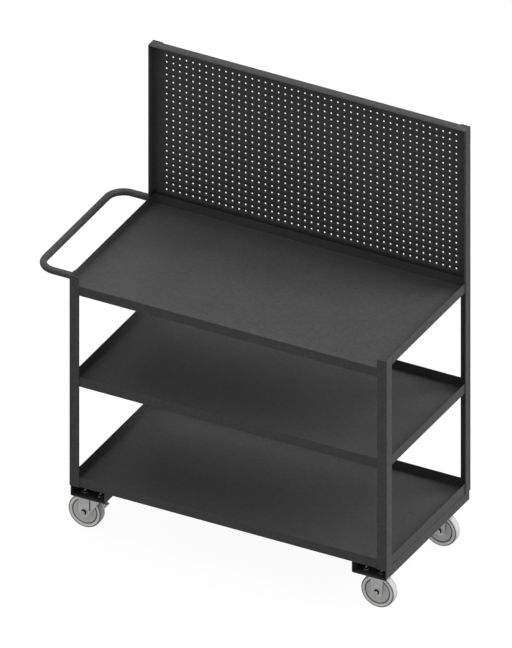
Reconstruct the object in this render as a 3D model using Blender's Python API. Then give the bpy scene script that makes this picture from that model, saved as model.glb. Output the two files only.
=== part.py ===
"""Rolling utility cart: three steel trays on four corner angles, a perforated back
panel, a tubular push handle, two rigid casters and two braked swivel casters.

+X points away from the push handle, +Y towards the back panel, +Z up. The origin is
on the floor, under the middle of the whole cart with its handle.
"""

import math

import bmesh
import bpy
from mathutils import Matrix, Vector

INCH = 0.0254
GAP = 0.0003  # left between two pieces that touch

# Deck and frame
DECK_LENGTH = 48.25 * INCH  # along X, over the posts
DECK_DEPTH = 24.25 * INCH  # along Y, over the posts
MOUNT_HEIGHT = 0.154025  # floor to the underside of the caster channels
TIER_SPACING = 15.75 * INCH  # underside of one tray to the underside of the next
LIP_HEIGHT = 1.5 * INCH
SHEET = 0.0019
POST_LEG = 1.5 * INCH
POST_THICKNESS = 0.125 * INCH
POST_BEND = 0.125 * INCH

# Caster channels
CHANNEL_WIDTH = 5.25 * INCH
CHANNEL_HEIGHT = 1.625 * INCH
CHANNEL_THICKNESS = 0.125 * INCH

# Back panel
PANEL_HEIGHT = 24.0 * INCH  # above the lips of the top tray
PANEL_FLANGE = 1.5 * INCH
PANEL_SHEET = 0.0015

# Push handle
HANDLE_TUBE_RADIUS = 0.5 * INCH
HANDLE_TUBE_WALL = 0.0017
HANDLE_REACH = 5.8 * INCH  # post face to the outside of the bar
HANDLE_BEND = 2.5 * INCH  # on the centre line

# Casters
CASTER_INSET = 3.0 * INCH  # caster centre to the open end of its channel
PLATE_LENGTH = 3.125 * INCH  # along X
PLATE_WIDTH = 4.125 * INCH  # along Y
PLATE_THICKNESS = 0.0035
BOLT_SPACING_X = 2.36 * INCH
BOLT_SPACING_Y = 3.0 * INCH
BOLT_RADIUS = 0.1875 * INCH
BOLT_FLATS = 0.5625 * INCH
BOLT_HEAD = 0.006
NUT_HEIGHT = 0.008
THREAD_END = 0.003

WHEEL_RADIUS = 2.5 * INCH
WHEEL_WIDTH = 1.25 * INCH
WHEEL_SEGMENTS = 24
TYRE_DEPTH = 0.0145
TYRE_SHOULDER = 0.0035
HUB_WIDTH = 0.0334
HUB_RADIUS = 0.015
RIM_DEPTH = 0.0045
RIM_RECESS = 0.0015  # how far the rim's sides lie inside the tyre's
RIM_TAPER = 0.0015
HUB_TAPER = 0.002
WEB_HALF_WIDTH = 0.0125
SLEEVE_WALL = 0.0029

FORK_SIDE_PLAY = 0.0013
FORK_LEG = 0.003
FORK_CROWN = 0.004
FORK_BEND = 0.006
FORK_END_RADIUS = 0.020
CROWN_FRONT = 0.034  # from the king pin to the front edge of the swivel fork's crown
RIGID_HALF_LENGTH = 0.0255  # of a rigid fork's leg where it leaves the plate
SWIVEL_OFFSET = 1.75 * INCH  # how far the axle trails behind the king pin
RACE_RADIUS = 0.037
RACE_HEIGHT = 0.008
KING_PIN_RADIUS = 0.00635
KING_PIN_FLATS = 0.019
KING_PIN_HEAD_RADIUS = 0.0105
KING_PIN_HEAD = 0.0017

# Brake pedal: angles are at the axle, up from level, in degrees
BRAKE_PIVOT_ANGLE = 48.0
BRAKE_PIVOT_CLEARANCE = 0.0102  # tyre to the centre of the pivot
BRAKE_PIN_RADIUS = 0.003
BRAKE_BARREL_RADIUS = 0.006
BRAKE_LUG_RADIUS = 0.009
BRAKE_PEDAL_REACH = 0.0335  # pivot to the pedal's tip, level
BRAKE_PEDAL_DROP = 0.0135
BRAKE_PEDAL_THICKNESS = 0.003
BRAKE_PAD_ANGLE = 20.5
BRAKE_PAD_CLEARANCE = 0.0093  # tyre to pad while the brake is off
BRAKE_PAD_RADIUS = 0.0035
BRAKE_SIDE_PLAY = 0.001

ROUND = 16  # sides of a small round piece
HEX_RING = 12  # points round a ring that is a hexagon or a circle

# Places that follow from the sizes above
DECK_X = HANDLE_REACH / 2
TRAY_HALF_LENGTH = DECK_LENGTH / 2 - POST_THICKNESS - GAP
TRAY_HALF_DEPTH = DECK_DEPTH / 2 - POST_THICKNESS - GAP
BOTTOM_TRAY_Z = MOUNT_HEIGHT + CHANNEL_HEIGHT
MIDDLE_TRAY_Z = BOTTOM_TRAY_Z + TIER_SPACING
TOP_TRAY_Z = MIDDLE_TRAY_Z + TIER_SPACING
LIP_TOP = TOP_TRAY_Z + LIP_HEIGHT
PANEL_TOP = LIP_TOP + PANEL_HEIGHT
CHANNEL_X = TRAY_HALF_LENGTH - CHANNEL_WIDTH / 2
CASTER_Y = TRAY_HALF_DEPTH - CASTER_INSET
AXLE_DROP = MOUNT_HEIGHT - WHEEL_RADIUS
BOLT_HOLE_RADIUS = BOLT_RADIUS + GAP
FORK_HALF_GAP = HUB_WIDTH / 2 + FORK_SIDE_PLAY
FORK_HALF_WIDTH = FORK_HALF_GAP + FORK_LEG
SLEEVE_RADIUS = BOLT_HOLE_RADIUS + SLEEVE_WALL
PLATE_UNDERSIDE = -GAP - PLATE_THICKNESS
RACE_TOP = PLATE_UNDERSIDE - GAP
CROWN_TOP = RACE_TOP - RACE_HEIGHT - GAP
CROWN_UNDERSIDE = CROWN_TOP - FORK_CROWN
TYRE_SEAT_RADIUS = WHEEL_RADIUS - TYRE_DEPTH


def from_axle(angle, radius):
    """A point in X and Z about a swivel axis, from its direction and distance at the axle."""
    turn = math.radians(angle)
    return (-SWIVEL_OFFSET + radius * math.cos(turn), -AXLE_DROP + radius * math.sin(turn))


BRAKE_PIVOT = from_axle(BRAKE_PIVOT_ANGLE, WHEEL_RADIUS + BRAKE_PIVOT_CLEARANCE)
BRAKE_PAD = from_axle(BRAKE_PAD_ANGLE, WHEEL_RADIUS + BRAKE_PAD_CLEARANCE + BRAKE_PAD_RADIUS)

SIDES = {"front": -1, "back": 1}
OVERSHOOT = 0.02  # how far a cutter runs past what it cuts


def clear_scene():
    for old in list(bpy.data.objects):
        bpy.data.objects.remove(old, do_unlink=True)


def make_material(name, colour, roughness, metallic):
    material = bpy.data.materials.new(name)
    material.use_nodes = True
    shader = material.node_tree.nodes["Principled BSDF"]
    shader.inputs["Base Color"].default_value = (*colour, 1.0)
    shader.inputs["Roughness"].default_value = roughness
    shader.inputs["Metallic"].default_value = metallic
    return material


def add_object(name, shape, material=None, place=(0, 0, 0), parent=None, smooth=False):
    """Turns a bmesh into a named object at a place, which counts from the parent."""
    bmesh.ops.recalc_face_normals(shape, faces=shape.faces)
    mesh = bpy.data.meshes.new(name)
    shape.to_mesh(mesh)
    shape.free()
    if smooth:
        mesh.shade_smooth()
        mesh.set_sharp_from_angle(angle=math.radians(32))
    if material:
        mesh.materials.append(material)
    made = bpy.data.objects.new(name, mesh)
    made.location = place
    made.parent = parent
    bpy.context.scene.collection.objects.link(made)
    return made


def add_cutter(name, shape, place=(0, 0, 0), parent=None):
    cutter = add_object(name, shape, place=place, parent=parent)
    cutter.hide_render = True
    cutter.display_type = "WIRE"
    return cutter


def add_boolean(target, other, operation="DIFFERENCE"):
    modifier = target.modifiers.new(operation.title(), "BOOLEAN")
    modifier.operation = operation
    modifier.solver = "EXACT"
    modifier.object = other


def add_axis(name, place, parent=None):
    axis = bpy.data.objects.new(name, None)
    axis.empty_display_size = 0.03
    axis.location = place
    axis.parent = parent
    bpy.context.scene.collection.objects.link(axis)
    return axis


def box(low, high, shape=None):
    """Adds a box between two corners to a bmesh, which it starts if there is none."""
    shape = shape or bmesh.new()
    low = Vector(low)
    high = Vector(high)
    scale = Matrix.Diagonal((*(high - low), 1.0))
    bmesh.ops.create_cube(shape, size=1.0, matrix=Matrix.Translation((low + high) / 2) @ scale)
    return shape


def arc(centre, radius, start, end, steps):
    """Points along an arc, both ends included; angles in degrees, counter-clockwise."""
    angles = [math.radians(start + (end - start) * step / steps) for step in range(steps + 1)]
    return [(centre[0] + radius * math.cos(a), centre[1] + radius * math.sin(a)) for a in angles]


def prism(outline, low, high, along):
    """Extrudes an outline along an axis; its two coordinates are the other two axes in order."""
    place = {
        "X": lambda p, q, depth: (depth, p, q),
        "Y": lambda p, q, depth: (p, depth, q),
        "Z": lambda p, q, depth: (p, q, depth),
    }[along]
    shape = bmesh.new()
    start = [shape.verts.new(place(p, q, low)) for p, q in outline]
    end = [shape.verts.new(place(p, q, high)) for p, q in outline]
    shape.faces.new(start)
    shape.faces.new(end)
    for index, vertex in enumerate(start):
        after = (index + 1) % len(start)
        shape.faces.new((vertex, start[after], end[after], end[index]))
    return shape


def loft(rings, closed=False):
    """Joins rings of equally many points; the ends get a cap each, or meet if closed."""
    shape = bmesh.new()
    loops = [[shape.verts.new(point) for point in ring] for ring in rings]
    pairs = list(zip(loops, loops[1:]))
    if closed:
        pairs.append((loops[-1], loops[0]))
    else:
        shape.faces.new(loops[0])
        shape.faces.new(loops[-1])
    for lower, upper in pairs:
        for index, vertex in enumerate(lower):
            after = (index + 1) % len(lower)
            shape.faces.new((vertex, lower[after], upper[after], upper[index]))
    return shape


def ring_points(radius, height, axis, segments, flats=False, phase=0.0):
    """A ring round an axis; flats makes it a hexagon whose radius is half across its flats."""
    points = []
    for index in range(segments):
        angle = 2 * math.pi * (index + phase) / segments
        reach = radius
        if flats:
            from_flat = (angle + math.pi / 6) % (math.pi / 3) - math.pi / 6
            reach = radius / math.cos(from_flat)
        across = reach * math.cos(angle)
        up = reach * math.sin(angle)
        points.append((across, up, height) if axis == "Z" else (across, height, up))
    return points


def turned(profile, axis, segments=ROUND, closed=False, phase=0.0, outside=False):
    """Turns a profile of (radius, height); outside keeps each side's middle at the radius."""
    grow = 1 / math.cos(math.pi / segments) if outside else 1.0
    rings = [ring_points(r * grow, h, axis, segments, phase=phase) for r, h in profile]
    return loft(rings, closed)


def rod(sections, axis):
    """A stack of round and hexagonal lengths: (radius, start, end, is it a hexagon)."""
    rings = []
    for radius, start, end, flats in sections:
        rings.append(ring_points(radius, start, axis, HEX_RING, flats))
        rings.append(ring_points(radius, end, axis, HEX_RING, flats))
    return loft(rings)


def hex_nut(hole_radius, flats, low, high, axis):
    rings = [
        ring_points(flats / 2, low, axis, HEX_RING, flats=True),
        ring_points(flats / 2, high, axis, HEX_RING, flats=True),
        ring_points(hole_radius, high, axis, HEX_RING),
        ring_points(hole_radius, low, axis, HEX_RING),
    ]
    return loft(rings, closed=True)


def make_tray(name, underside, front_lip_up, material):
    """A folded tray: the ends and back turn up, and the front turns up or down."""
    half_x = TRAY_HALF_LENGTH
    half_y = TRAY_HALF_DEPTH
    floor = underside + SHEET
    low = underside if front_lip_up else floor - LIP_HEIGHT
    high = underside + LIP_HEIGHT
    tray = add_object(
        name,
        box((-half_x, -half_y, low), (half_x, half_y, high)),
        material,
        place=(DECK_X, 0, 0),
    )
    front = -half_y + SHEET if front_lip_up else -half_y - OVERSHOOT
    inside = box(
        (-half_x + SHEET, front, floor),
        (half_x - SHEET, half_y - SHEET, high + OVERSHOOT),
    )
    add_boolean(tray, add_cutter(name + "_inside", inside, place=(DECK_X, 0, 0)))
    if not front_lip_up:
        beneath = box(
            (-half_x - OVERSHOOT, -half_y + SHEET, low - OVERSHOOT),
            (half_x + OVERSHOOT, half_y + OVERSHOOT, underside),
        )
        add_boolean(tray, add_cutter(name + "_beneath", beneath, place=(DECK_X, 0, 0)))
    return tray


def make_post(name, side_x, side_y, top, material):
    """A corner angle with a round outer corner and a square inner one, where trays fit."""
    outline = [(POST_LEG, 0), (POST_LEG, POST_THICKNESS)]
    outline += [(POST_THICKNESS, POST_THICKNESS)]
    outline += [(POST_THICKNESS, POST_LEG), (0, POST_LEG)]
    outline += arc((POST_BEND, POST_BEND), POST_BEND, 180, 270, 4)
    placed = [
        (side_x * (DECK_LENGTH / 2 - p), side_y * (DECK_DEPTH / 2 - q)) for p, q in outline
    ]
    shape = prism(placed, BOTTOM_TRAY_Z, top, "Z")
    return add_object(name, shape, material, place=(DECK_X, 0, 0), smooth=True)


def make_panel(material):
    """The back panel: a sheet in front of the back posts, its top and ends turned forward."""
    back = TRAY_HALF_DEPTH
    bottom = LIP_TOP + GAP
    panel = add_object(
        "pegboard_panel",
        box(
            (-TRAY_HALF_LENGTH, back - PANEL_FLANGE, bottom),
            (TRAY_HALF_LENGTH, back, PANEL_TOP),
        ),
        material,
        place=(DECK_X, 0, 0),
    )
    pocket = box(
        (
            -TRAY_HALF_LENGTH + PANEL_SHEET,
            back - PANEL_FLANGE - OVERSHOOT,
            bottom - OVERSHOOT,
        ),
        (TRAY_HALF_LENGTH - PANEL_SHEET, back - PANEL_SHEET, PANEL_TOP - PANEL_SHEET),
    )
    add_boolean(panel, add_cutter("panel_pocket", pocket, place=(DECK_X, 0, 0)))
    return panel


def make_handle(material):
    """A U of tube in a level plane, its two ends against the side legs of the left posts."""
    half_bar = DECK_DEPTH / 2 - POST_LEG / 2
    bar_x = -DECK_LENGTH / 2 - HANDLE_REACH + HANDLE_TUBE_RADIUS
    end_x = -DECK_LENGTH / 2 - GAP
    elbow_x = bar_x + HANDLE_BEND
    elbow_y = half_bar - HANDLE_BEND
    path = [(end_x, half_bar, 90)]
    bend_steps = 8
    for centre_y, start in ((elbow_y, 90), (-elbow_y, 180)):
        for step in range(bend_steps + 1):
            angle = start + 90 * step / bend_steps
            turn = math.radians(angle)
            x = elbow_x + HANDLE_BEND * math.cos(turn)
            y = centre_y + HANDLE_BEND * math.sin(turn)
            path.append((x, y, angle))
    path.append((end_x, -half_bar, 270))
    height = LIP_TOP - HANDLE_TUBE_RADIUS
    outer = []
    inner = []
    for x, y, angle in path:
        outward = Vector((math.cos(math.radians(angle)), math.sin(math.radians(angle)), 0))
        for loops, radius in (
            (outer, HANDLE_TUBE_RADIUS),
            (inner, HANDLE_TUBE_RADIUS - HANDLE_TUBE_WALL),
        ):
            ring = [
                Vector((x, y, height)) + outward * p + Vector((0, 0, q))
                for p, q in arc((0, 0), radius, 0, 360, ROUND)[:-1]
            ]
            loops.append(ring)
    shape = loft(outer + inner[::-1], closed=True)
    return add_object("push_handle", shape, material, place=(DECK_X, 0, 0), smooth=True)


def bolt_places():
    return [
        (x * BOLT_SPACING_X / 2, y * BOLT_SPACING_Y / 2) for x in (-1, 1) for y in (-1, 1)
    ]


def bolt_holes(low, high):
    """Four round cutters on the bolt pattern of one caster, about its centre."""
    holes = bmesh.new()
    for x, y in bolt_places():
        bmesh.ops.create_cone(
            holes,
            cap_ends=True,
            segments=HEX_RING,
            radius1=BOLT_HOLE_RADIUS,
            radius2=BOLT_HOLE_RADIUS,
            depth=high - low,
            matrix=Matrix.Translation((x, y, (low + high) / 2)),
        )
    return holes


def make_channel(end_name, side_x, material):
    """A channel across one end: its web lies on the casters, its legs reach the bottom tray."""
    half = CHANNEL_WIDTH / 2
    thick = CHANNEL_THICKNESS
    top = BOTTOM_TRAY_Z - GAP
    low = MOUNT_HEIGHT
    inner = thick / 2
    outline = [(half, top), (half - thick, top)]
    outline += arc((half - thick - inner, low + thick + inner), inner, 0, -90, 3)
    outline += arc((-half + thick + inner, low + thick + inner), inner, 270, 180, 3)
    outline += [(-half + thick, top), (-half, top)]
    outline += arc((-half + thick, low + thick), thick, 180, 270, 4)
    outline += arc((half - thick, low + thick), thick, 270, 360, 4)
    shape = prism(outline, -TRAY_HALF_DEPTH, TRAY_HALF_DEPTH, "Y")
    name = "caster_channel_" + end_name
    place = (DECK_X + side_x * CHANNEL_X, 0, 0)
    channel = add_object(name, shape, material, place, smooth=True)
    for side_name, side_y in SIDES.items():
        holes = bolt_holes(MOUNT_HEIGHT - OVERSHOOT / 2, MOUNT_HEIGHT + OVERSHOOT / 2)
        centre = (place[0], side_y * CASTER_Y, 0)
        add_boolean(channel, add_cutter(name + "_holes_" + side_name, holes, centre))
    return channel


def make_mounting_bolts(corner, mount, material):
    """Each bolt has its head under the caster plate and its nut inside the channel."""
    head_top = PLATE_UNDERSIDE - GAP
    nut_low = CHANNEL_THICKNESS + GAP
    nut_top = nut_low + NUT_HEIGHT
    for number, (x, y) in enumerate(bolt_places(), start=1):
        shape = rod(
            [
                (BOLT_FLATS / 2, head_top - BOLT_HEAD, head_top, True),
                (BOLT_RADIUS, head_top, nut_low, False),
                (BOLT_FLATS / 2, nut_low, nut_top, True),
                (BOLT_RADIUS, nut_top, nut_top + THREAD_END, False),
            ],
            "Z",
        )
        add_object(f"mount_bolt_{corner}_{number}", shape, material, (x, y, 0), mount, True)


def fork_section(crown_top):
    """The fork across the cart, in Y and Z: a crown with a bent leg down each side."""
    deep = -AXLE_DROP - FORK_END_RADIUS - OVERSHOOT
    inner_bend = FORK_BEND - FORK_LEG
    outer_y = FORK_HALF_WIDTH - FORK_BEND
    inner_y = FORK_HALF_GAP - inner_bend
    under = crown_top - FORK_CROWN
    outline = [(FORK_HALF_WIDTH, deep)]
    outline += arc((outer_y, crown_top - FORK_BEND), FORK_BEND, 0, 90, 3)
    outline += arc((-outer_y, crown_top - FORK_BEND), FORK_BEND, 90, 180, 3)
    outline += [(-FORK_HALF_WIDTH, deep), (-FORK_HALF_GAP, deep)]
    outline += arc((-inner_y, under - inner_bend), inner_bend, 180, 90, 3)
    outline += arc((inner_y, under - inner_bend), inner_bend, 90, 0, 3)
    outline += [(FORK_HALF_GAP, deep)]
    return outline


def swivel_outline():
    """The swivel fork from the side, in X and Z: crown, brake lug and trailing axle end."""
    axle = (-SWIVEL_OFFSET, -AXLE_DROP)
    crown_back = -SWIVEL_OFFSET - FORK_END_RADIUS
    outline = [(crown_back, CROWN_TOP + OVERSHOOT)]
    outline += [(CROWN_FRONT, CROWN_TOP + OVERSHOOT)]
    outline += [(CROWN_FRONT, CROWN_UNDERSIDE - FORK_LEG)]
    outline += arc(BRAKE_PIVOT, BRAKE_LUG_RADIUS, 15, -35, 4)
    outline += arc(axle, FORK_END_RADIUS, -35, -180, 10)
    return outline


def rigid_outline():
    """The rigid fork from the side: it narrows evenly to a round end at the axle."""
    shoulder = PLATE_UNDERSIDE - FORK_CROWN - 2 * FORK_LEG
    outline = [(-RIGID_HALF_LENGTH, OVERSHOOT), (RIGID_HALF_LENGTH, OVERSHOOT)]
    outline += [(RIGID_HALF_LENGTH, shoulder)]
    outline += arc((0, -AXLE_DROP), FORK_END_RADIUS, 5, -185, 12)
    outline += [(-RIGID_HALF_LENGTH, shoulder)]
    return outline


def make_fork_blank(name, outline, crown_top, material, parent):
    """The bent section cut to the side outline."""
    reach = SWIVEL_OFFSET + 2 * CROWN_FRONT
    shape = prism(fork_section(crown_top), -reach, reach, "X")
    fork = add_object(name, shape, material, parent=parent, smooth=True)
    side = prism(outline, -2 * FORK_HALF_WIDTH, 2 * FORK_HALF_WIDTH, "Y")
    add_boolean(fork, add_cutter(name + "_side", side, parent=parent), "INTERSECT")
    return fork


def cut_round_hole(target, radius, axis, place, half_length, parent, label):
    hole = turned([(radius, -half_length), (radius, half_length)], axis)
    add_boolean(target, add_cutter(f"{target.name}_{label}", hole, place, parent))


def make_swivel_fork(name, material, parent):
    fork = make_fork_blank(name, swivel_outline(), CROWN_TOP, material, parent)
    axle = (-SWIVEL_OFFSET, 0, -AXLE_DROP)
    pivot = (BRAKE_PIVOT[0], 0, BRAKE_PIVOT[1])
    span = 2 * FORK_HALF_WIDTH
    cut_round_hole(fork, BOLT_HOLE_RADIUS, "Y", axle, span, parent, "axle_hole")
    cut_round_hole(fork, BRAKE_PIN_RADIUS + GAP, "Y", pivot, span, parent, "brake_hole")
    pin_place = (0, 0, CROWN_TOP)
    cut_round_hole(fork, KING_PIN_RADIUS + GAP, "Z", pin_place, OVERSHOOT, parent, "pin_hole")
    return fork


def make_rigid_fork(name, material, parent):
    """The rigid caster's plate and legs are one welded piece."""
    half_x = PLATE_LENGTH / 2
    half_y = PLATE_WIDTH / 2
    plate = box((-half_x, -half_y, PLATE_UNDERSIDE), (half_x, half_y, -GAP))
    fork = add_object(name, plate, material, parent=parent, smooth=True)
    inside_plate = PLATE_UNDERSIDE + PLATE_THICKNESS / 2
    legs = make_fork_blank(name + "_legs", rigid_outline(), inside_plate, None, parent)
    legs.hide_render = True
    legs.display_type = "WIRE"
    add_boolean(fork, legs, "UNION")
    holes = bolt_holes(PLATE_UNDERSIDE - OVERSHOOT / 4, OVERSHOOT / 4)
    add_boolean(fork, add_cutter(name + "_holes", holes, parent=parent))
    axle = (0, 0, -AXLE_DROP)
    span = 2 * FORK_HALF_WIDTH
    cut_round_hole(fork, BOLT_HOLE_RADIUS, "Y", axle, span, parent, "axle_hole")
    return fork


def make_swivel_plate(name, material, parent):
    """The swivel caster's plate, with a seat for the king pin's head."""
    half_x = PLATE_LENGTH / 2
    half_y = PLATE_WIDTH / 2
    shape = box((-half_x, -half_y, PLATE_UNDERSIDE), (half_x, half_y, -GAP))
    plate = add_object(name, shape, material, parent=parent, smooth=True)
    holes = bolt_holes(PLATE_UNDERSIDE - OVERSHOOT / 4, OVERSHOOT / 4)
    add_boolean(plate, add_cutter(name + "_holes", holes, parent=parent))
    seat_depth = -2 * GAP - KING_PIN_HEAD - GAP
    seat = [
        (KING_PIN_RADIUS + GAP, -OVERSHOOT),
        (KING_PIN_RADIUS + GAP, seat_depth),
        (KING_PIN_HEAD_RADIUS + GAP, seat_depth),
        (KING_PIN_HEAD_RADIUS + GAP, OVERSHOOT),
    ]
    add_boolean(plate, add_cutter(name + "_seat", turned(seat, "Z"), parent=parent))
    return plate


def make_king_pin(name, material, parent):
    """Its head sits in the plate, and its nut holds the fork's crown up to the race."""
    head_top = -2 * GAP
    nut_top = CROWN_UNDERSIDE - GAP
    shape = rod(
        [
            (KING_PIN_HEAD_RADIUS, head_top, head_top - KING_PIN_HEAD, False),
            (KING_PIN_RADIUS, head_top - KING_PIN_HEAD, nut_top, False),
            (KING_PIN_FLATS / 2, nut_top, nut_top - NUT_HEIGHT, True),
        ],
        "Z",
    )
    return add_object(name, shape, material, parent=parent, smooth=True)


def make_race(name, material, parent):
    """The ball race between plate and fork: two dished rings that meet at the rim."""
    top = RACE_TOP
    low = RACE_TOP - RACE_HEIGHT
    bore = KING_PIN_RADIUS + 2 * GAP
    neck = RACE_RADIUS - 0.004
    profile = [
        (bore, low),
        (neck, low),
        (RACE_RADIUS, low + 0.3 * RACE_HEIGHT),
        (RACE_RADIUS, low + 0.7 * RACE_HEIGHT),
        (neck, top),
        (bore, top),
    ]
    shape = turned(profile, "Z", WHEEL_SEGMENTS, closed=True)
    return add_object(name, shape, material, parent=parent, smooth=True)


def make_wheel(corner, core_material, tyre_material, axle):
    """A core and a tyre on one axle. A flat of the many-sided tyre is down, on the floor."""
    rim_half = WHEEL_WIDTH / 2 - RIM_RECESS
    rim_radius = TYRE_SEAT_RADIUS - RIM_DEPTH
    front_half = [
        (SLEEVE_RADIUS + GAP, HUB_WIDTH / 2),
        (HUB_RADIUS, HUB_WIDTH / 2),
        (HUB_RADIUS + HUB_TAPER, WEB_HALF_WIDTH),
        (rim_radius, WEB_HALF_WIDTH),
        (rim_radius + RIM_TAPER, rim_half),
        (TYRE_SEAT_RADIUS - GAP, rim_half),
    ]
    core = [(r, -y) for r, y in front_half] + front_half[::-1]
    half = WHEEL_WIDTH / 2
    shoulder = WHEEL_RADIUS - TYRE_SHOULDER
    tyre = [
        (TYRE_SEAT_RADIUS, -half),
        (shoulder, -half),
        (WHEEL_RADIUS - TYRE_SHOULDER / 4, -half + TYRE_SHOULDER / 2),
        (WHEEL_RADIUS, -half + 2 * TYRE_SHOULDER),
        (WHEEL_RADIUS, half - 2 * TYRE_SHOULDER),
        (WHEEL_RADIUS - TYRE_SHOULDER / 4, half - TYRE_SHOULDER / 2),
        (shoulder, half),
        (TYRE_SEAT_RADIUS, half),
    ]
    parts = (("wheel_core", core, core_material), ("tyre", tyre, tyre_material))
    for kind, profile, material in parts:
        shape = turned(profile, "Y", WHEEL_SEGMENTS, closed=True, phase=0.5, outside=True)
        add_object(f"{kind}_{corner}", shape, material, parent=axle, smooth=True)


def make_axle(corner, material, axle):
    """A sleeve between the fork's legs, and a bolt through legs and sleeve with its nut."""
    inside = FORK_HALF_GAP - GAP
    outside = FORK_HALF_WIDTH + GAP
    sleeve = [
        (BOLT_HOLE_RADIUS, -inside),
        (SLEEVE_RADIUS, -inside),
        (SLEEVE_RADIUS, inside),
        (BOLT_HOLE_RADIUS, inside),
    ]
    shape = turned(sleeve, "Y", closed=True)
    add_object("axle_sleeve_" + corner, shape, material, parent=axle, smooth=True)
    shape = rod(
        [
            (BOLT_FLATS / 2, outside + BOLT_HEAD, outside, True),
            (BOLT_RADIUS, outside, -outside - NUT_HEIGHT - THREAD_END, False),
        ],
        "Y",
    )
    add_object("axle_bolt_" + corner, shape, material, parent=axle, smooth=True)
    shape = hex_nut(BOLT_HOLE_RADIUS, BOLT_FLATS, -outside - NUT_HEIGHT, -outside, "Y")
    add_object("axle_nut_" + corner, shape, material, parent=axle, smooth=True)


def make_brake(name, material, pivot):
    """A pedal on a cross pin: pressing its tip down swings the pad under it onto the tyre."""
    half_width = FORK_HALF_GAP - BRAKE_SIDE_PLAY
    tip = (BRAKE_PEDAL_REACH, -BRAKE_PEDAL_DROP)
    pad = (BRAKE_PAD[0] - BRAKE_PIVOT[0], BRAKE_PAD[1] - BRAKE_PIVOT[1])
    thick = BRAKE_PEDAL_THICKNESS
    outline = arc((0, 0), BRAKE_BARREL_RADIUS, 200, 75, 5)
    outline += [(tip[0], tip[1] + thick), (tip[0] + thick / 2, tip[1])]
    outline += [(tip[0], tip[1] - thick), (BRAKE_BARREL_RADIUS + 3 * thick, -3 * thick)]
    outline += arc(pad, BRAKE_PAD_RADIUS, 20, -200, 6)
    shape = prism(outline, -half_width, half_width, "Y")
    pedal = add_object(name, shape, material, parent=pivot, smooth=True)
    reach = FORK_HALF_WIDTH + GAP
    pin = turned([(BRAKE_PIN_RADIUS, -reach), (BRAKE_PIN_RADIUS, reach)], "Y")
    add_boolean(pedal, add_cutter(name + "_pin", pin, parent=pivot), "UNION")
    return pedal


def make_rigid_caster(corner, mount, zinc, core, tyre):
    make_rigid_fork("rigid_fork_" + corner, zinc, mount)
    axle = add_axis("axle_" + corner, (0, 0, -AXLE_DROP), mount)
    make_wheel(corner, core, tyre, axle)
    make_axle(corner, zinc, axle)


def make_swivel_caster(corner, mount, zinc, core, tyre):
    make_swivel_plate("swivel_plate_" + corner, zinc, mount)
    make_king_pin("king_pin_" + corner, zinc, mount)
    swivel = add_axis("swivel_axis_" + corner, (0, 0, 0), mount)
    make_race("swivel_race_" + corner, zinc, swivel)
    make_swivel_fork("swivel_fork_" + corner, zinc, swivel)
    axle = add_axis("axle_" + corner, (-SWIVEL_OFFSET, 0, -AXLE_DROP), swivel)
    make_wheel(corner, core, tyre, axle)
    make_axle(corner, zinc, axle)
    pivot = add_axis("brake_axis_" + corner, (BRAKE_PIVOT[0], 0, BRAKE_PIVOT[1]), swivel)
    make_brake("brake_pedal_" + corner, zinc, pivot)


def build():
    clear_scene()
    coat = make_material("charcoal_coat", (0.075, 0.077, 0.08), 0.5, 0.1)
    zinc = make_material("zinc_plate", (0.62, 0.62, 0.63), 0.35, 0.9)
    core = make_material("grey_polyolefin", (0.42, 0.42, 0.43), 0.5, 0.0)
    tread = make_material("grey_polyurethane", (0.5, 0.5, 0.51), 0.55, 0.0)

    make_tray("top_tray", TOP_TRAY_Z, False, coat)
    make_tray("middle_tray", MIDDLE_TRAY_Z, True, coat)
    make_tray("bottom_tray", BOTTOM_TRAY_Z, True, coat)
    for side_name, side_y in SIDES.items():
        top = LIP_TOP if side_y < 0 else PANEL_TOP
        make_post(f"post_{side_name}_left", -1, side_y, top, coat)
        make_post(f"post_{side_name}_right", 1, side_y, top, coat)
    make_panel(coat)
    make_handle(coat)

    casters = (("left", -1, make_swivel_caster), ("right", 1, make_rigid_caster))
    for end_name, side_x, make_caster in casters:
        make_channel(end_name, side_x, coat)
        for side_name, side_y in SIDES.items():
            corner = f"{side_name}_{end_name}"
            place = (DECK_X + side_x * CHANNEL_X, side_y * CASTER_Y, MOUNT_HEIGHT)
            mount = add_axis("caster_mount_" + corner, place)
            make_mounting_bolts(corner, mount, zinc)
            make_caster(corner, mount, zinc, core, tread)


build()
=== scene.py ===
import math

import bmesh
import bpy
from mathutils import Matrix, Vector


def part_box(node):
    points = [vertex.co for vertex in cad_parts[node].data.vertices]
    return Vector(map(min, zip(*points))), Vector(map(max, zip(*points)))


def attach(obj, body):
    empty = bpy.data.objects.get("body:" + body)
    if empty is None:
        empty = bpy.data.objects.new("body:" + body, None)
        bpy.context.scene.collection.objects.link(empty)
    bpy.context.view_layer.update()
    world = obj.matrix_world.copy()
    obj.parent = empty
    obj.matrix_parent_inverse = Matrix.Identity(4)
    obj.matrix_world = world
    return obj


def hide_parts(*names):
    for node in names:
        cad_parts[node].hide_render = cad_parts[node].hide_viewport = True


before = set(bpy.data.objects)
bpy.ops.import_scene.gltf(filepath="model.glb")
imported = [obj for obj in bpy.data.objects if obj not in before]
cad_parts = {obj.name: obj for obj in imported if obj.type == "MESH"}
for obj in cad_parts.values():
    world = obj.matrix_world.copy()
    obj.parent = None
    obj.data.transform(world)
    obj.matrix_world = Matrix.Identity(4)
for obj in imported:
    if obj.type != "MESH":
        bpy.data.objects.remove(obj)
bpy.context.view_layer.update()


# Shelf trays: three trays of 1.9 mm sheet steel. Each is one blank, folded up 38 mm on its sides
# with the corners welded shut. The top tray's front edge is folded down instead, so that work slides
# on and off. All the sheet is powder coated charcoal, with a fine, low texture.
TRAY_SHEET = 0.0019
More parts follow.
